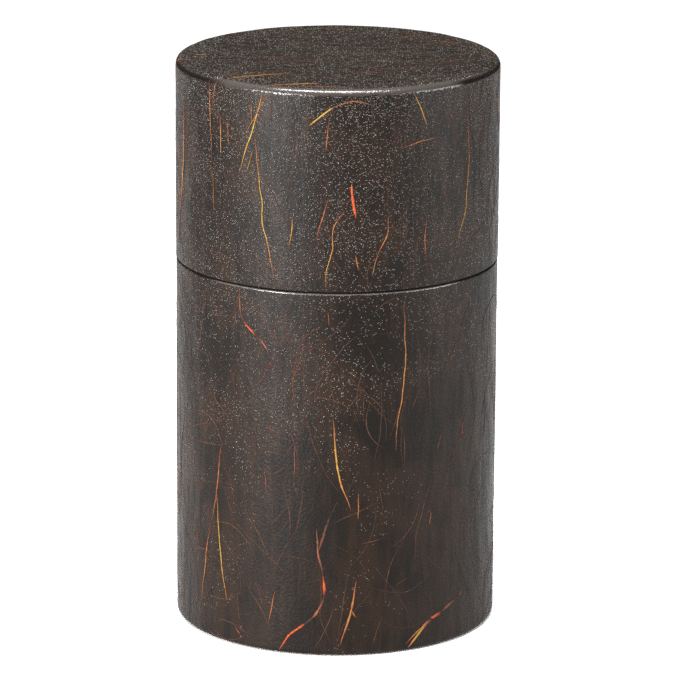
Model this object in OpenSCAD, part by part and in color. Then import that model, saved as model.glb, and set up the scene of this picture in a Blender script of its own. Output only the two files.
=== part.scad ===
// Round tea caddy: a wooden tube body and a deep slip-over lid, both covered
// with lacquered long-fibre paper. A tinplate can stands inside the body, and
// its collar guides the lid. A pressed inner lid with a turned knob closes
// the can. Origin at the centre of the foot, +Z up, millimetres.

/* [Overall] */
// Finished diameter of the body
body_d = 80; // [70:1:100]
// Height of the body, from the foot to the seam under the lid
body_h = 92.2; // [70:0.1:120]
// Height of the lid, from the seam to its top
lid_h = 50.3; // [45:0.1:60]
// How much wider the lid is than the body
lid_proud = 0.2; // [0:0.1:0.4]

/* [Wood and paper] */
// Thickness of the lacquered paper skin
skin_t = 0.5; // [0.3:0.1:0.8]
// Wall of the body's wooden tube
tube_wall = 2.9; // [2.5:0.1:4]
// Thickness of the wooden discs in the lid and the base
board_t = 3; // [2.5:0.5:4]
// Thickness of the paper that lines the lid
lining_t = 0.4; // [0.3:0.1:0.6]
// Hollow under the base board, so that the caddy stands on its rim
foot_hollow = 1; // [0.5:0.1:2]

/* [Edges] */
// Radius of the lid's top edge
lid_edge_r = 1.8; // [1:0.1:2.5]
// Radius of the foot's outer edge
foot_edge_r = 1.4; // [0.8:0.1:2]
// Radius of the two edges that meet at the seam
seam_edge_r = 0.4; // [0.2:0.05:0.45]

/* [Inner can] */
// Thickness of the tinplate
tin_t = 0.3; // [0.25:0.05:0.4]
// How far the can stands up out of the body as a collar for the lid
collar_h = 14; // [10:1:18]
// Radius of the curl round the can's mouth
curl_r = 0.7; // [0.6:0.1:0.9]
// Gap between the collar and the lid's lining, on the radius
lid_play = 0.3; // [0.2:0.05:0.4]
// Height of the can bottom above the base board
can_bottom_rise = 3; // [2:0.5:5]

/* [Inner lid] */
// Depth of the skirt that plugs into the can
skirt_h = 8; // [6:1:10]
// Thickness of the inner lid's sheet
plate_t = 0.4; // [0.3:0.05:0.6]
// Gap between the skirt and the can's curl, on the radius
skirt_play = 0.15; // [0.1:0.05:0.25]
// Height of the knob above the inner lid
knob_h = 13; // [10:0.5:15]
// Diameter of the knob's head
knob_d = 17; // [15:0.5:20]
// Diameter of the screw that holds the knob
screw_d = 3; // [2.5:0.5:4]

/* [Hidden] */
$fn = 128;
// How far a cutting shape runs past the surface it cuts
cut = 1;

lacquer = [0.16, 0.12, 0.11];
lacquer_top = [0.19, 0.15, 0.14];
wood = [0.55, 0.40, 0.26];
tinplate = [0.72, 0.73, 0.74];
lining_red = [0.30, 0.08, 0.06];
knob_black = [0.09, 0.07, 0.07];
brass = [0.72, 0.58, 0.30];

// Radii of the body, from the outside in
body_r = body_d / 2;
tube_r = body_r - skin_t;
can_r = tube_r - tube_wall;
can_in_r = can_r - tin_t;

// Heights up the body. The disc of paper under the base board is thinner than the side's.
base_paper_t = 0.3;
board_z = foot_hollow;
can_z = board_z + board_t;
can_floor_z = can_z + can_bottom_rise;
mouth_z = body_h + collar_h;

// Radii and heights of the lid
lid_r = body_r + lid_proud / 2;
lid_tube_r = lid_r - skin_t;
lining_r = can_r + lid_play;
lid_bore_r = lining_r + lining_t;
top_z = body_h + lid_h;
board_top_z = top_z - skin_t;
ceiling_z = board_top_z - board_t;
// The side paper is turned over the top edge, and the top's disc of paper fills what it leaves
turn_over = 6;
turn_in_r = lid_r - turn_over;

// The inner lid rests just above the curl of the can's mouth, with its folded lip
// a little inside the collar, and a bead pressed up round the plate
rest_gap = 0.05;
lip_inset = 0.3;
bead_inset = 9;
bead_out_r = 1.2;
skirt_r = can_r - 2 * curl_r - skirt_play;
lip_r = can_r - lip_inset;
lip_z = mouth_z + rest_gap;
plate_z = lip_z + plate_t;
plate_top_z = plate_z + plate_t;
bead_ring_r = skirt_r - bead_inset;

// The knob, its washer and its screw. The crown of the head is one arc that
// runs smoothly into the round edge, so its radius follows from the edge.
knob_head_h = 4.8;
knob_overhang = 2.1;
knob_foot_h = 1.2;
knob_foot_step = 0.3;
knob_edge_r = 2;
knob_r = knob_d / 2;
knob_foot_r = knob_r - knob_overhang;
knob_head_z = knob_h - knob_head_h;
knob_edge_x = knob_r - knob_edge_r;
knob_edge_z = knob_head_z + knob_edge_r;
crown_rise = knob_h - knob_edge_z;
crown_r = (pow(knob_edge_x, 2) + pow(crown_rise, 2) - pow(knob_edge_r, 2)) / (2 * (crown_rise - knob_edge_r));
crown_end_x = knob_edge_x * crown_r / (crown_r - knob_edge_r);
waist_r = 4;
waist_cut_r = 4;
wood_over_screw = 4;
screw_r = screw_d / 2;
screw_depth = knob_h - wood_over_screw;
screw_play = 0.1;
washer_r = 5;
washer_t = 0.8;
screw_head_r = 3.2;
screw_head_h = 2;
slot_w = 0.8;
slot_depth = 1;

// Half section between two radii and two heights
module band(r_in, r_out, z_low, z_high) {
    translate([r_in, z_low]) square([r_out - r_in, z_high - z_low]);
}

// What a rounded outer corner loses: quarter is 1 for a top corner, -1 for a foot corner
module corner_waste(r_out, z, edge_r, quarter) {
    translate([r_out - edge_r, z - quarter * edge_r])
        difference() {
            translate([0, quarter > 0 ? 0 : -edge_r - cut]) square(edge_r + cut);
            circle(r = edge_r);
        }
}

module turned() {
    rotate_extrude() children();
}

// ---- body ----

module body_tube() {
    color(wood) turned() difference() {
        band(can_r, tube_r, 0, body_h);
        corner_waste(body_r, 0, foot_edge_r, -1);
    }
}

module body_side_paper() {
    color(lacquer) turned() difference() {
        band(tube_r, body_r, 0, body_h);
        corner_waste(body_r, 0, foot_edge_r, -1);
        corner_waste(body_r, body_h, seam_edge_r, 1);
    }
}

module base_board() {
    color(wood) translate([0, 0, board_z]) cylinder(r = can_r, h = board_t);
}

module base_paper() {
    color(lacquer) translate([0, 0, board_z - base_paper_t]) cylinder(r = can_r, h = base_paper_t);
}

// The wall of the can, with its top edge curled inwards
module can_wall() {
    curl_x = can_r - curl_r;
    color(tinplate) turned() {
        band(can_in_r, can_r, can_z, mouth_z - curl_r);
        translate([curl_x, mouth_z - curl_r]) circle(r = curl_r);
    }
}

// The pressed-in bottom of the can, with its flange turned down
module can_bottom() {
    color(tinplate) turned() {
        band(0, can_in_r, can_floor_z - tin_t, can_floor_z);
        band(can_in_r - tin_t, can_in_r, can_z, can_floor_z);
    }
}

// ---- inner lid ----

// One pressed sheet: folded lip, skirt, flat plate and a stiffening bead
module inner_lid_plate() {
    color(tinplate) turned() difference() {
        union() {
            band(screw_r + screw_play, lip_r - plate_t, plate_z, plate_top_z);
            band(skirt_r - plate_t, lip_r - plate_t, lip_z, plate_top_z);
            translate([lip_r - plate_t, plate_z]) circle(r = plate_t);
            band(skirt_r - plate_t, skirt_r, lip_z - skirt_h, plate_top_z);
            translate([bead_ring_r, plate_z]) circle(r = bead_out_r);
        }
        translate([bead_ring_r, plate_z]) circle(r = bead_out_r - plate_t);
        band(bead_ring_r - 2 * bead_out_r, bead_ring_r + 2 * bead_out_r, plate_z - 2 * bead_out_r, plate_z);
    }
}

module inner_lid_knob() {
    color(knob_black) translate([0, 0, plate_top_z]) turned() difference() {
        union() {
            band(0, knob_foot_r, 0, knob_foot_h);
            difference() {
                band(0, knob_foot_r - knob_foot_step, 0, knob_edge_z);
                translate([waist_r + waist_cut_r, (knob_foot_h + knob_head_z) / 2]) circle(r = waist_cut_r);
            }
            band(0, knob_edge_x, knob_head_z, knob_edge_z);
            translate([knob_edge_x, knob_edge_z]) circle(r = knob_edge_r);
            intersection() {
                translate([0, knob_h - crown_r]) circle(r = crown_r);
                band(0, crown_end_x, knob_edge_z, knob_h + cut);
            }
        }
        band(-cut, screw_r + screw_play / 2, -cut, screw_depth + screw_play);
    }
}

module knob_washer() {
    color(brass) turned() band(screw_r + screw_play, washer_r, plate_z - washer_t, plate_z);
}

// Pan-head screw, driven up through the washer and the plate into the knob
module knob_screw() {
    head_z = plate_z - washer_t - screw_head_h;
    color(brass) difference() {
        union() {
            translate([0, 0, head_z]) cylinder(r = screw_head_r, h = screw_head_h);
            translate([0, 0, head_z]) cylinder(r = screw_r, h = plate_top_z - head_z + screw_depth);
        }
        translate([-screw_head_r - cut, -slot_w / 2, head_z - cut])
            cube([2 * (screw_head_r + cut), slot_w, slot_depth + cut]);
    }
}

// ---- lid ----

module lid_tube() {
    color(wood) turned() band(lid_bore_r, lid_tube_r, body_h, ceiling_z);
}

module lid_top_board() {
    color(wood) turned() difference() {
        band(0, lid_tube_r, ceiling_z, board_top_z);
        corner_waste(lid_tube_r, board_top_z, lid_edge_r - skin_t, 1);
    }
}

// The paper round the lid's side, turned over the top edge
module lid_side_paper() {
    color(lacquer) turned() difference() {
        band(turn_in_r, lid_r, body_h, top_z);
        corner_waste(lid_r, top_z, lid_edge_r, 1);
        corner_waste(lid_r, body_h, seam_edge_r, -1);
        difference() {
            band(turn_in_r - cut, lid_tube_r, body_h - cut, board_top_z);
            corner_waste(lid_tube_r, board_top_z, lid_edge_r - skin_t, 1);
        }
    }
}

module lid_top_paper() {
    color(lacquer_top) translate([0, 0, board_top_z]) cylinder(r = turn_in_r, h = skin_t);
}

module lid_lining() {
    color(lining_red) turned() band(lining_r, lid_bore_r, body_h, ceiling_z);
}

module lid_ceiling_paper() {
    color(lining_red) translate([0, 0, ceiling_z - lining_t]) cylinder(r = lining_r, h = lining_t);
}

body_tube();
body_side_paper();
base_board();
base_paper();
can_wall();
can_bottom();
inner_lid_plate();
inner_lid_knob();
knob_washer();
knob_screw();
lid_tube();
lid_top_board();
lid_side_paper();
lid_top_paper();
lid_lining();
lid_ceiling_paper();
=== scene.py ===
# %% [markdown]
# # A round tea caddy covered with lacquered long-fibre paper
#
# The caddy is a wooden tube with a deep slip-over lid. Body and lid are covered with
# handmade paper, and the paper is lacquered a dark brown. Long bark fibres were left in
# the paper, and where the lacquer is rubbed thin over them they show red, orange and
# yellow. Inside stand a tinplate can and an inner lid with a turned knob.
#
# The CAD model gives every hard piece its size and place. This lesson adds what the eye
# sees: the uneven paper, the fibres, the lacquer, the metals and the light.

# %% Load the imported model
import math

import bmesh
import bpy
import numpy as np
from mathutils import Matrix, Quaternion, Vector


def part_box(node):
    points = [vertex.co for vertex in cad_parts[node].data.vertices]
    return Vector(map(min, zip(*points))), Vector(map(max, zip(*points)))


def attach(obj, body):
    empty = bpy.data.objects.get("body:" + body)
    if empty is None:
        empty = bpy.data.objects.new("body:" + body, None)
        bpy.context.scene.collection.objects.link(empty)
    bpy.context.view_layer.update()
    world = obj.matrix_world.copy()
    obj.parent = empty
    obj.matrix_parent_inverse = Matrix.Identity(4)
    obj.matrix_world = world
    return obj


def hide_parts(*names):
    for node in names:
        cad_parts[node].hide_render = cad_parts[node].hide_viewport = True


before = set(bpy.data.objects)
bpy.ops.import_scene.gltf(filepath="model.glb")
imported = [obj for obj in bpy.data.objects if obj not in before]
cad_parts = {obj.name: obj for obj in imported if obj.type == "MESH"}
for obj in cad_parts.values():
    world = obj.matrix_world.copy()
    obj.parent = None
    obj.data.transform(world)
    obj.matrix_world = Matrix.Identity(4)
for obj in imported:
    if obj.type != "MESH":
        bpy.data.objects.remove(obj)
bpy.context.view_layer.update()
MM = 0.001

# %% [markdown]
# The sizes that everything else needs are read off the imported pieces: how wide the body
# and the lid are, where the seam lies between them, and how high the lid's top is.

# %% Read the caddy's sizes
body_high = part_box("body_side_paper")[1]
lid_low, lid_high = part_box("lid_side_paper")
top_disc_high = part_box("lid_top_paper")[1]
BODY_R = body_high.x
LID_R = lid_high.x
TURN_IN_R = top_disc_high.x
SEAM_Z = lid_low.z
TOP_Z = lid_high.z
SKIN = TOP_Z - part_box("lid_top_board")[1].z
FOOT_EDGE = 1.4 * MM
SEAM_EDGE = 0.4 * MM
LID_EDGE = 1.8 * MM
print(f"Body radius {BODY_R / MM:.1f} mm, lid radius {LID_R / MM:.1f} mm,",
      f"seam at {SEAM_Z / MM:.1f} mm, top at {TOP_Z / MM:.1f} mm")

# %% [markdown]
# The camera stands a little above the caddy and looks down on it by 15 degrees, from far
# away and with a long lens, so the sides of the caddy stay almost parallel. It is set
# first, because everything is judged through it.

# %% Set up the camera
CAMERA_HEIGHT_ANGLE = math.radians(15.07)
CAMERA_DISTANCE = 1.206
CAMERA_ROLL = math.radians(0.35)
aim = Vector((0.4 * MM, 0, TOP_Z / 2 - 0.75 * MM))
towards_camera = Vector((0, -math.cos(CAMERA_HEIGHT_ANGLE), math.sin(CAMERA_HEIGHT_ANGLE)))
camera = bpy.data.objects.new("camera", bpy.data.cameras.new("camera"))
bpy.context.scene.collection.objects.link(camera)
camera.location = aim + towards_camera * CAMERA_DISTANCE
camera.rotation_mode = "QUATERNION"
upright_camera = (-towards_camera).to_track_quat("-Z", "Y")
camera.rotation_quaternion = upright_camera @ Quaternion((0, 0, 1), CAMERA_ROLL)
camera.data.lens = 256.4
camera.data.sensor_width = 36
camera.data.clip_start = 0.05
camera.data.clip_end = 20
bpy.context.scene.camera = camera
print("Camera at", [round(v, 3) for v in camera.location])

# %% [markdown]
# A finish is a small network of nodes. Writing it as arithmetic keeps it readable, so two
# helpers come first. `Finish.node` adds any node: it takes the kind, the settings, and the
# values or wires for its sockets. `Wire` is an output socket that can be used in a sum:
# `1 - grain` adds a Math node that subtracts.

# %% Helpers for writing finishes as arithmetic
class Wire:
    """One output socket, which ordinary arithmetic can use."""

    def __init__(self, finish, socket):
        self.finish = finish
        self.socket = socket

    def maths(self, operation, *values):
        return self.finish.node("Math", {"operation": operation}, values)

    def __add__(self, other):
        return self.maths("ADD", self, other)

    def __radd__(self, other):
        return self.maths("ADD", other, self)

    def __sub__(self, other):
        return self.maths("SUBTRACT", self, other)

    def __rsub__(self, other):
        return self.maths("SUBTRACT", other, self)

    def __mul__(self, other):
        return self.maths("MULTIPLY", self, other)

    def __rmul__(self, other):
        return self.maths("MULTIPLY", other, self)

    def __truediv__(self, other):
        return self.maths("DIVIDE", self, other)

    def __pow__(self, other):
        return self.maths("POWER", self, other)

    def at_least(self, other):
        return self.maths("MAXIMUM", self, other)

    def is_below(self, other):
        return self.maths("LESS_THAN", self, other)


class Finish:
    """A material that is being mixed, or the room round the caddy, which is made in the same way."""

    def __init__(self, name, made_in=bpy.data.materials):
        self.material = made_in.new(name)
        self.material.use_nodes = True
        self.tree = self.material.node_tree
        self.tree.nodes.clear()

    def node(self, kind, settings=None, inputs=(), out=0):
        made = self.tree.nodes.new("ShaderNode" + kind)
        for key, value in (settings or {}).items():
            if key == "stops":
                self.set_stops(made.color_ramp, value)
            else:
                setattr(made, key, value)
        pairs = inputs.items() if isinstance(inputs, dict) else enumerate(inputs)
        for key, value in pairs:
            if isinstance(value, Wire):
                self.tree.links.new(value.socket, made.inputs[key])
            elif value is not None:
                made.inputs[key].default_value = value
        return Wire(self, made.outputs[out]) if made.outputs else None

    def set_stops(self, ramp, stops):
        while len(ramp.elements) < len(stops):
            ramp.elements.new(1.0)
        for element, (place, colour) in zip(ramp.elements, stops):
            element.position = place
            element.color = (*colour, 1) if len(colour) == 3 else colour

    def place(self):
        """The point on the caddy, in metres from the centre of its foot."""
        return self.node("TexCoord", out="Object")

    def parts(self, vector):
        """The x, y and z of a vector."""
        split = self.node("SeparateXYZ", None, [vector]).socket.node
        return [Wire(self, socket) for socket in split.outputs]

    def stretched(self, place, scale):
        return self.node("Mapping", {"vector_type": "POINT"}, {"Vector": place, "Scale": scale})

    def noise(self, place, scale, detail=2.0, roughness=0.5, distortion=0.0):
        values = {"Vector": place, "Scale": scale, "Detail": detail, "Roughness": roughness,
                  "Distortion": distortion}
        return self.node("TexNoise", {"normalize": True}, values)

    def between(self, value, low, high, to_low=0.0, to_high=1.0):
        """value taken from the range low..high to the range to_low..to_high, softly and clamped."""
        values = {"Value": value, "From Min": low, "From Max": high, "To Min": to_low, "To Max": to_high}
        return self.node("MapRange", {"interpolation_type": "SMOOTHSTEP"}, values)

    def blend(self, mask, under, over):
        """Colour under where mask is 0, and over where it is 1."""
        return self.node("Mix", {"data_type": "RGBA"}, {0: mask, 6: under, 7: over}, out=2)

    def relief(self, height, depth, under=None):
        """A bumpy surface: depth is how far a height of 1 stands up, in metres."""
        sockets = {"Strength": 1.0, "Distance": depth, "Height": height, "Normal": under}
        return self.node("Bump", None, sockets)

    def layer(self, **sockets):
        """One shader, such as a coat of lacquer."""
        values = {key.replace("_", " "): value for key, value in sockets.items()}
        return self.node("BsdfPrincipled", None, values)

    def mix_layers(self, mask, under, over):
        return self.node("MixShader", None, (mask, under, over))

    def done(self, layer):
        """Ends the finish with its shader, and gives back the material."""
        self.node("OutputMaterial", None, {"Surface": layer})
        return self.material


def rgb(red, green, blue):
    return (red, green, blue, 1.0)


print("Helpers ready: Wire for sums, Finish for materials")

# %% [markdown]
# ## The lacquered paper
#
# The lacquer is dull and almost black brown, warmer where it lies thin, with broad streaks
# where the brush followed the paper: upright on the sides and across on the top. The
# paper under it is rough, and handling polishes the tips of the bumps, which catch the
# light one by one. So every cell of a fine cell pattern that is picked by its random value
# becomes a small glossy dome, and its colour is painted paler too, a painted glint. The
# painted glints are spread where the light catches: more on the lid and near its rim, fewer
# towards the foot and to the right. The rounded edges at the front of the lid and at the
# seam are rubbed glossy and painted paler, a painted highlight, and near-black painted
# shade fills the seam gap and a thin line under the top edge away from the front.

# %% The finish of the lacquered paper
def lacquered_paper(name="lacquered_paper"):
    f = Finish(name)
    place = f.place()
    x, y, z = f.parts(place)
    radius = (x * x + y * y) ** 0.5
    on_top = f.between(z, TOP_Z - 1.6 * MM, TOP_Z - 0.2 * MM)
    upright = f.noise(f.stretched(place, (1, 1, 0.16)), 480, 4, 0.6, 0.3)
    level = f.noise(f.stretched(place, (0.24, 1, 1)), 620, 4, 0.7, 0.6)
    streaks = f.node("Mix", {"data_type": "FLOAT"}, {0: on_top, 2: upright, 3: level})
    clouds = f.noise(place, 60, 3, 0.55, 0.6)
    grain = f.noise(place, 1500, 2, 0.6)
    brown = f.blend(f.between(clouds + (streaks - 0.5) * 0.9, 0.3, 0.7),
                    rgb(0.0030, 0.0021, 0.0016), rgb(0.0085, 0.0045, 0.0026))
    # The top is painted paler along its streaks: partly the paper's pale flecks, partly painted light falling
    # on the top.
    brown = f.blend(on_top * f.between(streaks, 0.36, 0.64, 0.1, 0.6), brown, rgb(0.022, 0.018, 0.014))
    spot_place = f.node("Mix", {"data_type": "VECTOR"},
                        {0: on_top, 4: place, 5: f.stretched(place, (0.8, 0.4, 1))}, out=1)
    cell = {"Vector": spot_place, "Scale": 2800, "Randomness": 1.0}
    from_middle = f.node("TexVoronoi", {"feature": "F1"}, cell)
    chance = f.parts(f.node("TexVoronoi", {"feature": "F1"}, cell, out="Color"))[0]
    lid_corner = (radius - LID_R + LID_EDGE) + (z - TOP_Z + LID_EDGE)
    # The painted glints are made denser near the lid's rim and on its top, and fewer towards the foot and to
    # the right, where the light catches less.
    by_the_rim = f.between(lid_corner, -8 * MM, LID_EDGE, 0, 0.3) + on_top * 0.06
    fewer = f.between(z, 20 * MM, TOP_Z - 20 * MM, 0.48, 0.04) + f.between(x, 4 * MM, 34 * MM, 0, 0.16)
    picked = f.between(chance + by_the_rim - fewer + (clouds - 0.5) * 0.9, 0.46, 0.6)
    dome = (0.2 - from_middle * from_middle).at_least(0) * picked * (1 + 0.7 * on_top)
    rubbed_and_highlight = f.between(lid_corner + (grain - 0.5) * 1.4 * MM, 1.1 * LID_EDGE, 1.22 * LID_EDGE)
    shoulder = (radius - BODY_R + SEAM_EDGE) + (z - SEAM_Z + SEAM_EDGE)
    at_the_seam = f.between(shoulder + (grain - 0.5) * 0.5 * MM, SEAM_EDGE, 1.15 * SEAM_EDGE)
    at_the_seam = at_the_seam * z.is_below(SEAM_Z + 0.01 * MM)
    # Only the front arc gets the rubbed gloss and painted highlight; away from it the edge gets painted
    # shade.
    at_the_front = f.between(y + (clouds - 0.5) * 8 * MM, -30 * MM, -24 * MM, 1, 0)
    # A thin line under the top edge, away from the front, is painted near black: painted shade.
    under_the_edge = f.between(z, TOP_Z - 0.95 * LID_EDGE, TOP_Z - 0.7 * LID_EDGE) * \
        f.between(z, TOP_Z - 0.45 * LID_EDGE, TOP_Z - 0.2 * LID_EDGE, 1, 0)
    shaded = under_the_edge * (1 - at_the_front) * 0.8
    rubbed_and_highlight = rubbed_and_highlight.at_least(at_the_seam) * at_the_front
    polished_painted_glint = f.between(dome, 0.06, 0.11)
    bumps = f.relief(dome, 0.5 * MM, f.relief(grain + streaks, 0.12 * MM))
    dull = f.layer(Base_Color=brown, Roughness=f.between(streaks, 0.3, 0.7, 0.5, 0.4), Normal=bumps,
                   Specular_IOR_Level=0.08)
    # The tips' colour is painted paler, most on the top: painted glints on top of their real gloss.
    painted_glint_tip = f.blend(on_top, rgb(0.040, 0.036, 0.032), rgb(0.090, 0.083, 0.075))
    glossy_tip_painted_glint = f.layer(Base_Color=painted_glint_tip, Roughness=0.13, Normal=bumps, Specular_IOR_Level=0.45)
    # The rubbed edge is painted paler than the lacquer, palest at the seam's shoulder: a painted highlight
    # besides its real gloss.
    rubbed_gloss_painted_highlight = f.layer(Base_Color=f.blend(at_the_seam, rgb(0.020, 0.016, 0.013), rgb(0.050, 0.045, 0.040)),
                     Roughness=0.22, Normal=f.relief(grain, 0.08 * MM), Specular_IOR_Level=0.45)
    # A near-black layer of painted shade, for the seam gap and the line under the top edge.
    painted_shade = f.layer(Base_Color=f.blend(streaks, rgb(0.001, 0.001, 0.001), rgb(0.003, 0.002, 0.002)),
                   Roughness=0.9, Specular_IOR_Level=0.02)
    # The lowest half millimetre of the lid above the seam is painted near black: painted shade in the gap.
    above_seam = 1 - z.is_below(SEAM_Z - 0.02 * MM)
    painted_gap_shade = f.between(z, SEAM_Z + 0.42 * MM, SEAM_Z + 0.58 * MM, 1, 0) * above_seam
    sound = f.mix_layers(polished_painted_glint, dull, glossy_tip_painted_glint)
    with_rubbed_highlight = f.mix_layers(rubbed_and_highlight, sound, rubbed_gloss_painted_highlight)
    return f.done(f.mix_layers(painted_gap_shade.at_least(shaded), with_rubbed_highlight, painted_shade))


LACQUERED_PAPER = lacquered_paper()
print("Finish ready:", LACQUERED_PAPER.name)

# %% [markdown]
# ## The other finishes
#
# The wooden tubes are lacquered plainly, without paper, where they show: the rim that the
# lid rests on and the lid's lower rim. The boards are bare, pale wood. The can and the
# inner lid are tinplate, which is rolled, so it is streaked in one direction and clouded
# by the crystals of the tin. The knob is turned wood under black lacquer, so fine rings
# run round it. The lid is lined with a dark red paper, and the screw and washer are brass.

# %% The woods
def lacquered_wood():
    f = Finish("lacquered_wood")
    place = f.place()
    grain = f.noise(f.stretched(place, (1, 1, 0.12)), 420, 4, 0.6, 0.4)
    brush = f.noise(f.stretched(place, (1, 1, 3)), 160, 2, 0.5)
    colour = f.blend(f.between(grain, 0.35, 0.65), rgb(0.016, 0.009, 0.006), rgb(0.040, 0.018, 0.010))
    shine = f.between(brush, 0.3, 0.7, 0.3, 0.45)
    return f.done(f.layer(Base_Color=colour, Roughness=shine, Normal=f.relief(grain + brush, 0.08 * MM),
                          Specular_IOR_Level=0.4))


def bare_wood():
    f = Finish("bare_wood")
    place = f.place()
    rings = f.noise(f.stretched(place, (0.1, 1, 1)), 260, 4, 0.6, 0.8)
    pores = f.noise(f.stretched(place, (0.06, 1, 1)), 1600, 2, 0.6)
    wood = f.blend(f.between(rings, 0.3, 0.7), rgb(0.46, 0.30, 0.17), rgb(0.62, 0.45, 0.28))
    wood = f.blend(f.between(pores, 0.3, 0.45, 0.5, 0.0), wood, rgb(0.25, 0.14, 0.07))
    return f.done(f.layer(Base_Color=wood, Roughness=f.between(rings, 0.3, 0.7, 0.7, 0.85),
                          Normal=f.relief(pores, 0.1 * MM), Specular_IOR_Level=0.3))


def black_lacquer():
    f = Finish("black_lacquer")
    place = f.place()
    x, y, z = f.parts(place)
    radius = (x * x + y * y) ** 0.5
    turned = f.noise(f.node("CombineXYZ", None, [radius, radius, z]), 900, 2, 0.5)
    dust = f.noise(place, 500, 3, 0.6)
    colour = f.blend(f.between(dust, 0.3, 0.7), rgb(0.007, 0.006, 0.005), rgb(0.018, 0.013, 0.010))
    return f.done(f.layer(Base_Color=colour, Roughness=f.between(dust, 0.3, 0.7, 0.16, 0.3),
                          Normal=f.relief(turned, 0.05 * MM), Specular_IOR_Level=0.5))


LACQUERED_WOOD, BARE_WOOD, BLACK_LACQUER = lacquered_wood(), bare_wood(), black_lacquer()
print("Finishes ready:", LACQUERED_WOOD.name, BARE_WOOD.name, BLACK_LACQUER.name)

# %% The metals
def tinplate():
    """Rolled tinplate. The can's wall is lapped and soldered at the back."""
    f = Finish("tinplate")
    place = f.place()
    x, y, z = f.parts(place)
    rolled = f.noise(f.stretched(place, (1, 1, 0.03)), 900, 3, 0.6)
    crystals = f.node("TexVoronoi", {"feature": "SMOOTH_F1"}, {"Vector": place, "Scale": 130})
    smears = f.noise(place, 45, 3, 0.6, 1.2)
    lap = (x * x).is_below((1.2 * MM) ** 2) * (0 - y).is_below(-30 * MM)
    tone = f.between(crystals + smears * 0.5 + rolled * 0.3, 0.4, 1.1)
    metal = f.blend(tone, rgb(0.38, 0.38, 0.37), rgb(0.56, 0.55, 0.53))
    metal = f.blend(lap * 0.5, metal, rgb(0.26, 0.25, 0.24))
    shine = f.between(smears + (rolled - 0.5) * 0.6, 0.3, 0.7, 0.22, 0.4)
    return f.done(f.layer(Base_Color=metal, Metallic=1.0, Roughness=shine,
                          Normal=f.relief(rolled + lap, 0.03 * MM)))


def brass():
    f = Finish("brass")
    place = f.place()
    turned = f.noise(f.stretched(place, (1, 1, 0.1)), 1500, 3, 0.6)
    stains = f.noise(place, 400, 3, 0.6, 0.8)
    metal = f.blend(f.between(stains, 0.4, 0.7), rgb(0.74, 0.52, 0.22), rgb(0.42, 0.25, 0.09))
    return f.done(f.layer(Base_Color=metal, Metallic=1.0, Roughness=f.between(stains, 0.3, 0.7, 0.25, 0.45),
                          Normal=f.relief(turned, 0.03 * MM)))


TINPLATE, BRASS = tinplate(), brass()
print("Finishes ready:", TINPLATE.name, BRASS.name)

# %% The lining paper
def lining_paper():
    f = Finish("lining_paper")
    place = f.place()
    pulp = f.noise(place, 700, 4, 0.65)
    threads = f.noise(f.stretched(place, (1, 1, 0.15)), 600, 3, 0.6, 1.5)
    red = f.blend(f.between(pulp, 0.3, 0.7), rgb(0.100, 0.020, 0.014), rgb(0.170, 0.036, 0.022))
    red = f.blend(f.between(threads, 0.62, 0.7, 0, 0.5), red, rgb(0.30, 0.11, 0.06))
    return f.done(f.layer(Base_Color=red, Roughness=f.between(pulp, 0.3, 0.7, 0.75, 0.9),
                          Normal=f.relief(pulp + threads * 0.5, 0.08 * MM), Specular_IOR_Level=0.25))


LINING_PAPER = lining_paper()
PLAIN_PIECES = {"body_tube": LACQUERED_WOOD, "lid_tube": LACQUERED_WOOD, "base_board": BARE_WOOD,
                "lid_top_board": BARE_WOOD, "base_paper": LACQUERED_PAPER, "can_wall": TINPLATE,
                "can_bottom": TINPLATE, "inner_lid_plate": TINPLATE, "inner_lid_knob": BLACK_LACQUER,
                "knob_washer": BRASS, "knob_screw": BRASS, "lid_lining": LINING_PAPER,
                "lid_ceiling_paper": LINING_PAPER}
for node, finish in PLAIN_PIECES.items():
    part = bpy.data.objects[node]
    part.data.materials.clear()
    part.data.materials.append(finish)
print(f"{len(PLAIN_PIECES)} pieces of the CAD model have their finishes")

# %% [markdown]
# ## The sheets of paper
#
# A sheet is swept round the caddy along a profile: a list of points (radius, height) that
# runs from the sheet's lower edge to its upper edge. Each point of the sheet is then
# moved in or out by a few hundredths of a millimetre, because paper stretched over wood
# keeps its ridges under the lacquer. The ridges come from a random height map that joins
# up with itself where the sheet closes.

# %% Make random ridges
def soft_noise(random, rows, columns, joins=True):
    """A smooth random field of values round 0: rows by columns control points, read at any place."""
    values = random.normal(size=(rows + 3, columns + (0 if joins else 3)))

    def read(across, along):
        x = np.asarray(across) * columns
        y = np.clip(np.asarray(along), 0, 1) * rows
        xi, yi = np.floor(x).astype(int), np.floor(y).astype(int)
        fx, fy = x - xi, y - yi
        fx, fy = fx * fx * (3 - 2 * fx), fy * fy * (3 - 2 * fy)
        wrap = (lambda i: i % columns) if joins else (lambda i: np.clip(i, 0, columns + 2))
        a, b = values[yi, wrap(xi)], values[yi, wrap(xi + 1)]
        c, d = values[yi + 1, wrap(xi)], values[yi + 1, wrap(xi + 1)]
        return (a * (1 - fx) + b * fx) * (1 - fy) + (c * (1 - fx) + d * fx) * fy

    return read


def ridges(random, around, height):
    """The paper's relief in metres, for places (0..1 round the caddy, 0..1 up the sheet)."""
    broad = soft_noise(random, max(2, int(height / (22 * MM))), int(around / (5 * MM)))
    medium = soft_noise(random, max(2, int(height / (7 * MM))), int(around / (1.9 * MM)))
    small = soft_noise(random, max(2, int(height / (2.2 * MM))), int(around / (1.0 * MM)))
    return lambda u, v: (broad(u, v) * 0.030 + medium(u, v) * 0.016 + small(u, v) * 0.008) * MM


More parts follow.
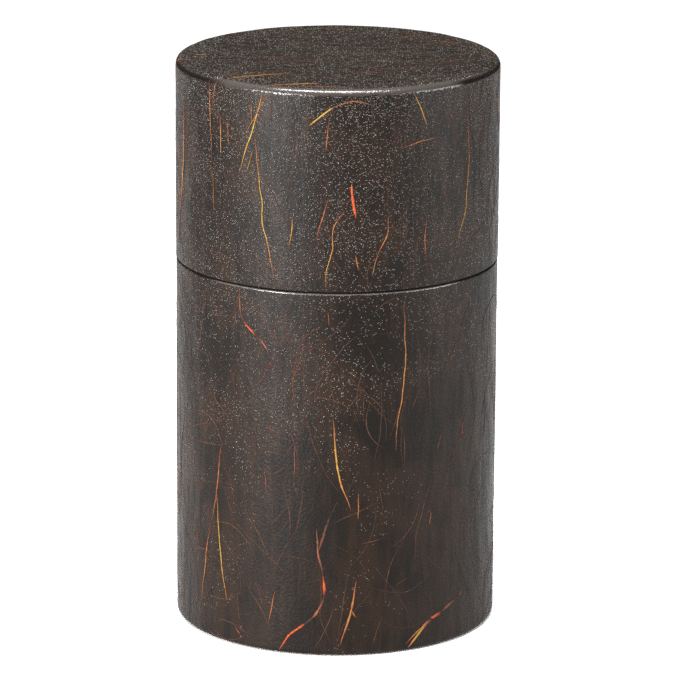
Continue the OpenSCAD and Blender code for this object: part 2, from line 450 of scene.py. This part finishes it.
random = np.random.default_rng(11)
CIRCUMFERENCE = 2 * math.pi * BODY_R
print(f"Sheets are {CIRCUMFERENCE / MM:.0f} mm long round the caddy")

# %% [markdown]
# The sweep itself makes a grid of faces, closed round the caddy, and gives the sheet its
# thickness at the two edges by turning the profile in towards the wood.

# %% Sweep a sheet round the caddy
COLUMNS = 512


def new_piece(name, vertices, faces, body, finish, smooth=True):
    mesh = bpy.data.meshes.new(name)
    mesh.from_pydata(vertices, [], faces)
    mesh.validate()
    piece = bpy.data.objects.new(name, mesh)
    bpy.context.scene.collection.objects.link(piece)
    mesh.polygons.foreach_set("use_smooth", [smooth] * len(mesh.polygons))
    mesh.materials.append(finish)
    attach(piece, body)
    print(f"{name}: {len(mesh.vertices)} points, {len(mesh.polygons)} faces")
    return piece


def arc(centre_r, centre_z, radius, start, end, steps):
    """Points round a corner of the profile, angles in degrees from outwards to up."""
    turns = np.radians(np.linspace(start, end, steps))
    return [(centre_r + radius * math.cos(t), centre_z + radius * math.sin(t)) for t in turns]


def line(start, end, pitch):
    steps = max(2, int(math.dist(start, end) / pitch) + 1)
    return [(start[0] + (end[0] - start[0]) * t, start[1] + (end[1] - start[1]) * t)
            for t in np.linspace(0, 1, steps)]


def without_repeats(points):
    kept = [points[0]]
    for point in points[1:]:
        if math.dist(point, kept[-1]) > 0.02 * MM:
            kept.append(point)
    return kept


def swept(profile, lift):
    """The grid of points and faces of a profile turned round the caddy, lifted by lift(turn, r, z)."""
    profile = np.array(without_repeats(profile))
    along = np.gradient(profile, axis=0)
    outward = np.column_stack([along[:, 1], -along[:, 0]])
    outward /= np.linalg.norm(outward, axis=1)[:, None]
    turn = 2 * math.pi * np.arange(COLUMNS) / COLUMNS
    vertices = []
    for i, (r, z) in enumerate(profile):
        up = lift(turn, np.full_like(turn, r), np.full_like(turn, z))
        radius = r + outward[i, 0] * up
        height = z + outward[i, 1] * up
        vertices.append(np.column_stack([radius * np.sin(turn), -radius * np.cos(turn), height]))
    rows = len(profile)
    faces = [(i * COLUMNS + j, i * COLUMNS + (j + 1) % COLUMNS,
              (i + 1) * COLUMNS + (j + 1) % COLUMNS, (i + 1) * COLUMNS + j)
             for i in range(rows - 1) for j in range(COLUMNS)]
    return np.concatenate(vertices), faces


print(f"A sheet has {COLUMNS} columns, one every {CIRCUMFERENCE / COLUMNS / MM:.2f} mm")

# %% [markdown]
# ### The body's sheet
#
# It starts inside the rim of the foot, goes round the foot's soft edge, up the side, and
# over the small edge at the seam onto the top of the tube, where the lid's rim rests on it.
# Its ridges fade out at both ends, so that the foot and the seam stay clean lines.

# %% Make the body's sheet
PITCH = 0.58 * MM
foot_start = math.degrees(math.asin((FOOT_EDGE - SKIN) / FOOT_EDGE))
body_profile = (arc(BODY_R - FOOT_EDGE, FOOT_EDGE, FOOT_EDGE, foot_start - 90 + 8, 0, 9)
                + line((BODY_R, FOOT_EDGE), (BODY_R, SEAM_Z - SEAM_EDGE), PITCH)
                + arc(BODY_R - SEAM_EDGE, SEAM_Z - SEAM_EDGE, SEAM_EDGE, 0, 90, 6)
                + [(BODY_R - SKIN, SEAM_Z)])
body_ridges = ridges(random, CIRCUMFERENCE, SEAM_Z)


def body_relief(turn, z):
    """How far the paper stands out or in at a turn (in radians) and a height."""
    clean = np.clip(np.minimum(z - 0.4 * MM, SEAM_Z - 0.3 * MM - z) / (2 * MM), 0, 1)
    return body_ridges(turn / (2 * math.pi), z / SEAM_Z) * clean


vertices, faces = swept(body_profile, lambda turn, r, z: body_relief(turn, z))
body_sheet = new_piece("body_sheet", vertices, faces, "body", LACQUERED_PAPER)
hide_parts("body_side_paper")

# %% [markdown]
# ### The lid's sheets
#
# The side sheet starts under the lid at the seam, climbs the side and is turned over the
# soft top edge. The round top sheet fills the middle. Both follow one height map there, so
# the join between them disappears under the lacquer, as it does on the real lid.

# %% Make the lid's side sheet
lid_side_ridges = ridges(random, CIRCUMFERENCE, TOP_Z - SEAM_Z)
TOP_GRIDS = ((16, 5), (44, 14), (90, 44))
top_map = [soft_noise(random, rows, columns, joins=False) for rows, columns in TOP_GRIDS]


def top_ridges(x, y):
    """The relief of the lid's top in metres. Its ridges run from left to right."""
    across, along = (x + LID_R) / (2 * LID_R), (y + LID_R) / (2 * LID_R)
    heights = [read(across, along) for read in top_map]
    return (heights[0] * 0.030 + heights[1] * 0.020 + heights[2] * 0.008) * MM


lid_profile = ([(LID_R - SKIN, SEAM_Z)]
               + arc(LID_R - SEAM_EDGE, SEAM_Z + SEAM_EDGE, SEAM_EDGE, -90, 0, 6)
               + line((LID_R, SEAM_Z + SEAM_EDGE), (LID_R, TOP_Z - LID_EDGE), PITCH)
               + arc(LID_R - LID_EDGE, TOP_Z - LID_EDGE, LID_EDGE, 0, 90, 10)
               + line((LID_R - LID_EDGE, TOP_Z), (TURN_IN_R, TOP_Z), PITCH))


def lid_relief(turn, r, z):
    """The side's ridges up to the top edge, and the top's ridges from there inwards."""
    clean = np.clip((z - SEAM_Z - 0.3 * MM) / (2 * MM), 0, 1)
    side = lid_side_ridges(turn / (2 * math.pi), (z - SEAM_Z) / (TOP_Z - SEAM_Z)) * clean
    top = top_ridges(r * np.sin(turn), -r * np.cos(turn))
    share = np.clip((LID_R - r) / (2.5 * MM), 0, 1)
    return side * (1 - share) + top * share


vertices, faces = swept(lid_profile, lid_relief)
lid_side_sheet = new_piece("lid_side_sheet", vertices, faces, "lid", LACQUERED_PAPER)
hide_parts("lid_side_paper")

# %% Make the lid's round top sheet
def disc(radius, z, rings, height):
    """A flat disc of rings of faces round a middle point, raised by height(x, y)."""
    turn = 2 * math.pi * np.arange(COLUMNS // 2) / (COLUMNS // 2)
    columns = len(turn)
    vertices = [(0, 0, z + float(height(np.zeros(1), np.zeros(1))[0]))]
    for ring in range(1, rings + 1):
        r = radius * ring / rings
        x, y = r * np.sin(turn), -r * np.cos(turn)
        vertices += list(zip(x, y, z + height(x, y)))
    faces = [(0, 1 + j, 1 + (j + 1) % columns) for j in range(columns)]
    for ring in range(rings - 1):
        low, high = 1 + ring * columns, 1 + (ring + 1) * columns
        faces += [(low + j, high + j, high + (j + 1) % columns, low + (j + 1) % columns)
                  for j in range(columns)]
    return vertices, faces


vertices, faces = disc(TURN_IN_R, TOP_Z, 64, top_ridges)
lid_top_sheet = new_piece("lid_top_sheet", vertices, faces, "lid", LACQUERED_PAPER)
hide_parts("lid_top_paper")

# %% [markdown]
# ## The fibres
#
# Long bark fibres lie in the paper, mostly upright. Each is a thin, flat, tapered strand,
# half sunk in the paper, so it is made as a closed ribbon that follows the paper's relief.
# A strand is drawn on the unrolled sheet first, as a few points, then smoothed, and then
# laid on the surface. Three functions say where a point of the unrolled sheet is in space.

# %% Find places on the paper
def on_body(along, up):
    """Points and outward directions: along the front to the right, and up from the foot."""
    turn = along / BODY_R
    tilt = np.clip((FOOT_EDGE - up) / FOOT_EDGE, 0, 1.4)
    r = BODY_R - FOOT_EDGE + FOOT_EDGE * np.cos(tilt)
    z = np.maximum(up, FOOT_EDGE) - FOOT_EDGE * np.sin(tilt)
    out = np.column_stack([np.sin(turn) * np.cos(tilt), -np.cos(turn) * np.cos(tilt), -np.sin(tilt)])
    middle = np.column_stack([np.sin(turn) * r, -np.cos(turn) * r, z])
    return middle + out * body_relief(turn, z)[:, None], out


def on_lid(along, up):
    """The same for the lid. Past the top edge a strand runs on towards the middle of the top."""
    turn = along / LID_R
    over = np.maximum(up - (TOP_Z - LID_EDGE), 0)
    tilt = np.clip(over / LID_EDGE, 0, math.pi / 2)
    inwards = np.maximum(over - LID_EDGE * math.pi / 2, 0)
    r = LID_R - LID_EDGE + LID_EDGE * np.cos(tilt) - inwards
    z = np.minimum(up, TOP_Z - LID_EDGE) + LID_EDGE * np.sin(tilt)
    out = np.column_stack([np.sin(turn) * np.cos(tilt), -np.cos(turn) * np.cos(tilt), np.sin(tilt)])
    middle = np.column_stack([np.sin(turn) * r, -np.cos(turn) * r, z])
    return middle + out * lid_relief(turn, r, z)[:, None], out


def on_top(x, y):
    """The same for the flat of the lid's top, from left to right and from front to back."""
    out = np.column_stack([np.zeros_like(x), np.zeros_like(x), np.ones_like(x)])
    return np.column_stack([x, y, TOP_Z + top_ridges(x, y)]), out


print("The unrolled sheets can be laid on the body, the lid and the top")

# %% Make one strand
SECTION = np.array([(-0.5, -0.1), (-0.27, 0.7), (0.0, 1.0), (0.27, 0.7), (0.5, -0.1), (0.0, -0.6)])
# The section's edges and underside take the dark lacquer colour: painted shade round each strand where it
# sinks into the paper.
SECTION_TINT_WITH_EDGE_SHADE = np.array([0.2, 0.9, 1.0, 0.9, 0.2, 0.0])
DARK = 0.2


class Strands:
    """Collects strands, to become one piece."""

    def __init__(self, surface, seed):
        self.surface = surface
        self.random = np.random.default_rng(seed)
        self.vertices = []
        self.faces = []
        self.tints = []

    def smoothed(self, path, pitch, wobble):
        """The path in even steps, rounded at its corners and a little shaky."""
        path = np.array(path, float)
        steps = np.hypot(*np.diff(path, axis=0).T)
        reached = np.concatenate([[0], np.cumsum(steps)])
        count = max(5, int(reached[-1] / pitch))
        places = np.linspace(0, reached[-1], count)
        line = np.column_stack([np.interp(places, reached, path[:, axis]) for axis in (0, 1)])
        line[1:-1] += self.random.normal(0, wobble, (count - 2, 2))
        for _ in range(int(1 + 2.2 * MM / pitch)):
            line[1:-1] = (line[:-2] + 2 * line[1:-1] + line[2:]) / 4
        return line

    def add(self, path, width, tints, pitch=0.7 * MM, wobble=0.16 * MM, proud=0.13 * MM):
        line = self.smoothed(path, pitch, wobble)
        middle, out = self.surface(line[:, 0], line[:, 1])
        ahead = np.gradient(middle, axis=0)
        ahead /= np.linalg.norm(ahead, axis=1)[:, None] + 1e-12
        side = np.cross(ahead, out)
        t = np.linspace(0, 1, len(line))
        taper = 0.12 + 0.88 * np.sin(math.pi * t) ** 0.55
        wide = width * taper * (1 + 0.18 * self.random.normal(size=len(t)).clip(-2, 2))
        high = proud * (0.35 + 0.65 * taper)
        tint = np.interp(t, np.linspace(0, 1, len(tints)), tints)
        tint = DARK + (tint - DARK) * (0.8 + 0.2 * taper + self.random.normal(0, 0.08, len(t)))
        first = len(self.vertices) * len(SECTION)
        for i in range(len(line)):
            ring = (middle[i] + side[i] * (SECTION[:, :1] * wide[i]) + out[i] * (SECTION[:, 1:] * high[i]))
            self.vertices.append(ring)
            self.tints.append(DARK + (tint[i] - DARK) * SECTION_TINT_WITH_EDGE_SHADE)
        n = len(SECTION)
        for i in range(len(line) - 1):
            low = first + i * n
            self.faces += [(low + j, low + (j + 1) % n, low + n + (j + 1) % n, low + n + j) for j in range(n)]
        last = first + (len(line) - 1) * n
        self.faces.append(tuple(first + n - 1 - j for j in range(n)))
        self.faces.append(tuple(last + j for j in range(n)))

    def piece(self, name, body, finish):
        made = new_piece(name, np.concatenate(self.vertices), self.faces, body, finish)
        tint = made.data.attributes.new("tint", "FLOAT", "POINT")
        tint.data.foreach_set("value", np.concatenate(self.tints))
        return made


print(f"A strand's cross-section has {len(SECTION)} points")

# %% [markdown]
# The fibres take the lacquer's colour where it is thick and show their own where it is
# rubbed off: dark red-brown, then red, orange and yellow. Every strand carries a number
# from 0 to 1 along its length, and the finish turns the number into one of these colours.
# A few bold strands glow like a flame. Their number lies at the other end, below the dark
# one, so that they too fade into the lacquer at their tips.

# %% The finish of the fibres
FLAME, BROWN, RUST, RED, ORANGE, YELLOW = 0.0, 0.28, 0.4, 0.52, 0.7, 0.95


def bark_fibre():
    f = Finish("bark_fibre")
    place = f.place()
    flecks = f.noise(place, 1300, 2, 0.6)
    tint = f.node("Attribute", {"attribute_name": "tint"}, out="Fac")
    shades = {"stops": [(FLAME, (0.230, 0.036, 0.009)), (DARK, (0.008, 0.005, 0.004)),
                        (BROWN, (0.020, 0.009, 0.006)), (RUST, (0.056, 0.021, 0.011)),
                        (RED, (0.115, 0.031, 0.012)), (ORANGE, (0.150, 0.068, 0.014)),
                        (YELLOW, (0.160, 0.112, 0.018))]}
    colour = f.node("ValToRGB", shades, [tint + (flecks - 0.5) * 0.3])
    bumps = f.relief(flecks, 0.15 * MM)
    return f.done(f.layer(Base_Color=colour, Roughness=0.6, Normal=bumps, Specular_IOR_Level=0.08))


BARK_FIBRE = bark_fibre()
print("Finish ready:", BARK_FIBRE.name)

# %% [markdown]
# The strands that stand out are drawn one by one: how wide, which colours from end to
# end, and where. Places are in degrees round from the front, to the right, and in
# millimetres up from the foot, and widths are in millimetres, all thinned by one factor,
# since the lacquer hides the edges of a strand. The longest are a yellow one left of the front on the lid
# and orange ones on the body.

# %% Draw the strands that stand out
THINNED = 0.8
LID_STRANDS = [
    (0.42, (RUST, ORANGE, YELLOW, YELLOW, ORANGE, RUST),
     [(-30, 131), (-28.5, 122), (-27, 114), (-26.5, 108), (-24, 102), (-21.5, 93)]),
    (0.50, (ORANGE, YELLOW, YELLOW, ORANGE), [(-26.5, 141), (-30, 132.5), (-33, 127), (-36, 120.5)]),
    (0.36, (ORANGE, RED, RUST), [(-33, 131), (-28, 137), (-23, 141)]),
    (0.42, (RUST, ORANGE, YELLOW, RUST, BROWN), [(-69, 135), (-70, 123), (-71, 115.5), (-77, 97)]),
    (0.30, (RED, ORANGE, RED, RUST), [(-51, 142), (-50, 131), (-49, 120)]),
    (0.34, (RED, ORANGE), [(-47, 142), (-49, 136)]),
    (0.30, (RUST, RED, RUST), [(-49, 120), (-48, 108)]),
    (0.38, (RED, ORANGE, YELLOW), [(-45, 134), (-44.5, 124)]),
    (0.30, (RED, ORANGE), [(-41, 133), (-41, 127)]),
    (0.32, (ORANGE, RED), [(-31, 138), (-31, 133)]),
    (0.32, (RED, ORANGE, YELLOW), [(-30.5, 127), (-33, 121)]),
    (0.60, (ORANGE, YELLOW, YELLOW, ORANGE), [(-10, 133.5), (-6, 136), (-1, 138.5)]),
    (0.36, (ORANGE, RED, RED), [(-1, 138.5), (5, 140), (11, 139)]),
    (0.34, (RUST, ORANGE, RUST), [(-3, 135), (-3.5, 131), (-4, 127)]),
    (0.95, (FLAME, FLAME, FLAME, FLAME), [(5, 119.5), (5.3, 116), (6.5, 111)]),
    (0.40, (RUST, ORANGE, RUST), [(-3, 116), (-5, 111), (-7.5, 105)]),
    (0.34, (RUST, YELLOW, ORANGE), [(-15.5, 112), (-15.5, 108), (-17, 103.5)]),
    (0.36, (RED, ORANGE, ORANGE, YELLOW, RUST),
     [(3, 113), (-1.5, 109), (-1.3, 104), (-3.7, 98), (-3.7, 93.5)]),
    (0.36, (RUST, ORANGE, RUST, YELLOW), [(18, 112), (18, 106.5), (14, 102), (12.5, 97)]),
    (0.40, (RED, ORANGE), [(6.5, 102), (7.5, 98)]),
    (0.30, (RUST, ORANGE), [(32.5, 110), (32, 100)]),
    (0.38, (RUST, RED, ORANGE, YELLOW, YELLOW), [(51, 137), (53, 122), (51.5, 114), (51.5, 110), (47, 103)]),
    (0.34, (ORANGE, YELLOW, ORANGE), [(27, 141), (30, 137), (32.5, 132.5)]),
    (0.30, (RUST, ORANGE, RUST), [(22, 127.5), (30, 129), (38.5, 129.5)]),
    (0.45, (RED, RUST), [(43, 134.5), (44, 133)]),
]
BODY_STRANDS = [
    (0.65, (RUST, RED, FLAME, RED, FLAME), [(-36, 92), (-36, 85), (-34, 83), (-25, 78), (-23, 73)]),
    (0.34, (BROWN, RUST), [(-20, 88), (-22, 82), (-20, 78)]),
    (0.36, (BROWN, RUST, BROWN), [(-10.5, 83), (-12, 76), (-15, 71), (-15, 66), (-8, 56)]),
    (0.30, (RUST, RED), [(-3, 88), (-2.5, 84)]),
    (0.40, (RUST, ORANGE, ORANGE, ORANGE, RED), [(24, 89), (25, 75), (24, 67), (22, 58), (21.5, 52)]),
    (0.40, (BROWN, RUST), [(47, 77), (43.5, 72)]),
    (0.65, (RED, ORANGE, YELLOW, ORANGE, RED), [(-1, 61), (0.5, 49), (2, 44), (5.5, 37.5)]),
    (0.34, (RED, ORANGE), [(8, 42), (8, 35)]),
    (0.65, (RUST, RED, RED, RUST), [(-45, 50.5), (-46, 45), (-47, 38), (-50, 30)]),
    (0.46, (RUST, ORANGE, RUST), [(-50, 30), (-53, 22), (-56, 8)]),
    (0.46, (ORANGE, YELLOW, ORANGE), [(-47, 38), (-46, 29), (-44, 18), (-42, 11)]),
    (0.98, (RUST, RED, FLAME, RED, FLAME, FLAME),
     [(-6.5, 33), (-6, 26.5), (-4, 21), (-3.5, 15), (-7.5, 10), (-16.5, 5), (-20, 1)]),
    (1.04, (BROWN, RUST), [(-2, 36), (-4, 31), (-6, 27)]),
    (0.71, (RED, ORANGE, RED), [(7.5, 19.5), (6, 12), (2, 3)]),
    (0.45, (RED, ORANGE), [(6, 12), (7.5, 10)]),
    (1.1, (FLAME, RED, FLAME, YELLOW, ORANGE), [(52, 12), (43, 9), (35, 7), (27, 1)]),
    (0.40, (RED, ORANGE, RED), [(37, 7), (31, 5), (26, 2)]),
    (0.34, (RUST, RED), [(-14.5, 54), (-14.5, 48), (-15, 45)]),
    (0.34, (RED, RUST), [(-24, 58), (-23, 56.5)]),
    (0.36, (BROWN, RUST, BROWN), [(-49.5, 65), (-48, 62), (-40, 58)]),
    (0.32, (RUST, RED), [(-26, 47), (-25, 41)]),
    (0.34, (RUST, RED), [(51, 57), (51, 52)]),
    (0.30, (RUST, BROWN), [(9.5, 29), (17, 30)]),
    (0.34, (RUST, RED, RUST), [(34, 36), (37, 35), (35, 33), (36, 31)]),
    (0.40, (RED, ORANGE), [(-21.5, 16), (-24, 8)]),
    (0.34, (RUST, ORANGE), [(-38, 5), (-36, 3)]),
]
TOP_STRANDS = [
    (0.55, (RED, ORANGE), [(-35.5, 0.5), (-32, 0.5)]),
    (0.60, (ORANGE, YELLOW, ORANGE, RUST), [(-26.5, -27.5), (-19, -23.5), (-10.5, -20)]),
    (0.60, (RED, ORANGE, YELLOW, RED), [(-17, -35), (-10, -33.5), (-4, -32.5)]),
    (0.50, (RUST, RED), [(-29, -24), (-24, -22)]),
    (0.50, (RED, RUST), [(-8, -36), (2, -36.5)]),
]


def draw(strands, rows, radius):
    """Adds the rows of a list, with places in degrees and mm, or in mm both ways if radius is None."""
    for width, tints, path in rows:
        sideways = MM if radius is None else radius * math.radians(1)
        strands.add([(a * sideways, b * MM) for a, b in path], THINNED * width * MM, tints)


body_strands = Strands(on_body, 21)
lid_strands = Strands(on_lid, 22)
top_strands = Strands(on_top, 23)
draw(body_strands, BODY_STRANDS, BODY_R)
draw(lid_strands, LID_STRANDS, LID_R)
draw(top_strands, TOP_STRANDS, None)
print(f"Drawn: {len(BODY_STRANDS)} strands on the body, {len(LID_STRANDS)} on the lid's side,",
      f"{len(TOP_STRANDS)} on its top")

# %% [markdown]
# The rest are scattered. Most are hair-thin and brown, and are hardly seen, but together
# they give the paper its grain. A few brighter ones go round the sides and back, so that
# the caddy looks the same all round.

# %% Scatter the other fibres
def wandering(random, start, heading, length, bend):
    """A path that keeps turning a little as it goes."""
    points = [np.array(start)]
    step = 2.2 * MM
    curl = random.normal(0, bend)
    for _ in range(max(2, int(length / step))):
        heading += curl + random.normal(0, bend)
        points.append(points[-1] + step * np.array([math.sin(heading), math.cos(heading)]))
    return points


def faded(tint, share):
    return DARK + (tint - DARK) * share


def scatter(strands, count, low, high, widths, tints, lengths, round_the_back=False):
    """Scatters fibres between two heights, all round or only where the drawn ones are not."""
    random = strands.random
    for _ in range(count):
        length = random.uniform(*lengths)
        turn = random.uniform(math.radians(82), math.radians(278)) if round_the_back \
            else random.uniform(0, 2 * math.pi)
        start = (turn * BODY_R, random.uniform(low, high))
        path = wandering(random, start, random.normal(0, 0.5) + math.pi * random.integers(2), length, 0.11)
        path = [point for point in path if low <= point[1] <= high]
        if len(path) > 2:
            shade = random.uniform(*tints)
            strands.add(path, random.uniform(*widths) * MM, (faded(shade, 0.5), shade, faded(shade, 0.4)),
                        pitch=1.1 * MM, proud=random.uniform(0.03, 0.07) * MM)


LID_RUN = TOP_Z + 4 * MM
scatter(body_strands, 430, 0.5 * MM, SEAM_Z - 1 * MM, (0.18, 0.3), (0.22, 0.37), (6 * MM, 30 * MM))
scatter(body_strands, 24, 1 * MM, SEAM_Z - 2 * MM, (0.34, 0.6), (0.45, 0.95), (7 * MM, 32 * MM), True)
scatter(lid_strands, 300, SEAM_Z + 1 * MM, LID_RUN, (0.18, 0.3), (0.21, 0.32), (5 * MM, 24 * MM))
scatter(lid_strands, 26, SEAM_Z + 2 * MM, LID_RUN, (0.34, 0.6), (0.45, 0.95), (7 * MM, 28 * MM), True)
for _ in range(110):
    away = 34 * MM * math.sqrt(top_strands.random.uniform(0, 1))
    turn = top_strands.random.uniform(0, 2 * math.pi)
    heading = math.pi / 2 + top_strands.random.normal(0, 0.35)
    path = wandering(top_strands.random, (away * math.sin(turn), away * math.cos(turn)), heading,
                     top_strands.random.uniform(4, 20) * MM, 0.1)
    path = [point for point in path if math.hypot(*point) < 36.5 * MM]
    if len(path) > 2:
        shade = top_strands.random.uniform(0.25, 0.42)
        width = top_strands.random.uniform(0.25, 0.5) * MM
        tints = (faded(shade, 0.5), shade, faded(shade, 0.4))
        top_strands.add(path, width, tints, pitch=1.1 * MM, proud=0.06 * MM)
body_strands.piece("body_fibres", "body", BARK_FIBRE)
lid_strands.piece("lid_side_fibres", "lid", BARK_FIBRE)
top_strands.piece("lid_top_fibres", "lid", BARK_FIBRE)

# %% [markdown]
# ## The floor and the light
#
# The caddy stands on a pale table. A narrow soft light at the left front draws the long
# upright sheen on the lacquer, a wider and weaker one at the right fills that side, and a
# broad, shallow one almost overhead makes the bright line along the top edge. A pale room
# with a darker horizon is all round, so that the gloss has something to reflect.

# %% Lay the floor
def pale_floor():
    f = Finish("pale_floor")
    cloth = f.noise(f.place(), 30, 3, 0.5)
    shade = f.blend(f.between(cloth, 0.3, 0.7), rgb(0.63, 0.63, 0.63), rgb(0.67, 0.67, 0.67))
    return f.done(f.layer(Base_Color=shade, Roughness=0.9, Specular_IOR_Level=0.1))


mesh = bpy.data.meshes.new("floor")
builder = bmesh.new()
bmesh.ops.create_grid(builder, x_segments=8, y_segments=8, size=1.3)
bmesh.ops.translate(builder, verts=builder.verts, vec=(0, 0, -0.00005))
builder.to_mesh(mesh)
builder.free()
mesh.materials.append(pale_floor())
floor = bpy.data.objects.new("floor", mesh)
bpy.context.scene.collection.objects.link(floor)

# %% Hang the lights
def soft_light(name, azimuth, elevation, distance, size, power, tint=(1, 1, 1)):
    """A rectangular soft light. Azimuth 0 is at the camera's side, 90 to the right."""
    a, e = math.radians(azimuth), math.radians(elevation)
    way = Vector((math.sin(a) * math.cos(e), -math.cos(a) * math.cos(e), math.sin(e)))
    data = bpy.data.lights.new(name, "AREA")
    data.shape = "RECTANGLE"
    data.size, data.size_y = size
    data.energy = power
    data.color = tint
    lamp = bpy.data.objects.new(name, data)
    bpy.context.scene.collection.objects.link(lamp)
    lamp.location = Vector((0, 0, TOP_Z / 2)) + way * distance
    lamp.rotation_mode = "QUATERNION"
    lamp.rotation_quaternion = (-way).to_track_quat("-Z", "Y")
    lamp.visible_camera = False
    print(f"{name}: {power} W at {azimuth}, {elevation} degrees")
    return lamp


soft_light("left_light", -42, 8, 0.6, (0.24, 0.3), 13.5)
soft_light("right_light", 74, 8, 0.6, (0.5, 0.3), 5.5)
soft_light("top_light", -14, 78, 1.0, (0.7, 0.18), 26)


def room():
    """A room that is dim all round and bright overhead, like a white ceiling."""
    f = Finish("room", bpy.data.worlds)
    upwards = f.node("SeparateXYZ", None, [f.node("TexCoord", out="Generated")], out="Z")
    glow = f.between(upwards, 0.3, 0.9, 0.04, 1.2)
    air = f.node("Background", None, {"Color": rgb(1, 1, 1), "Strength": glow})
    f.node("OutputWorld", None, {"Surface": air})
    return f.material


bpy.context.scene.world = room()
bpy.context.scene.view_settings.view_transform = "Standard"
bpy.context.scene.cycles.use_denoising = False
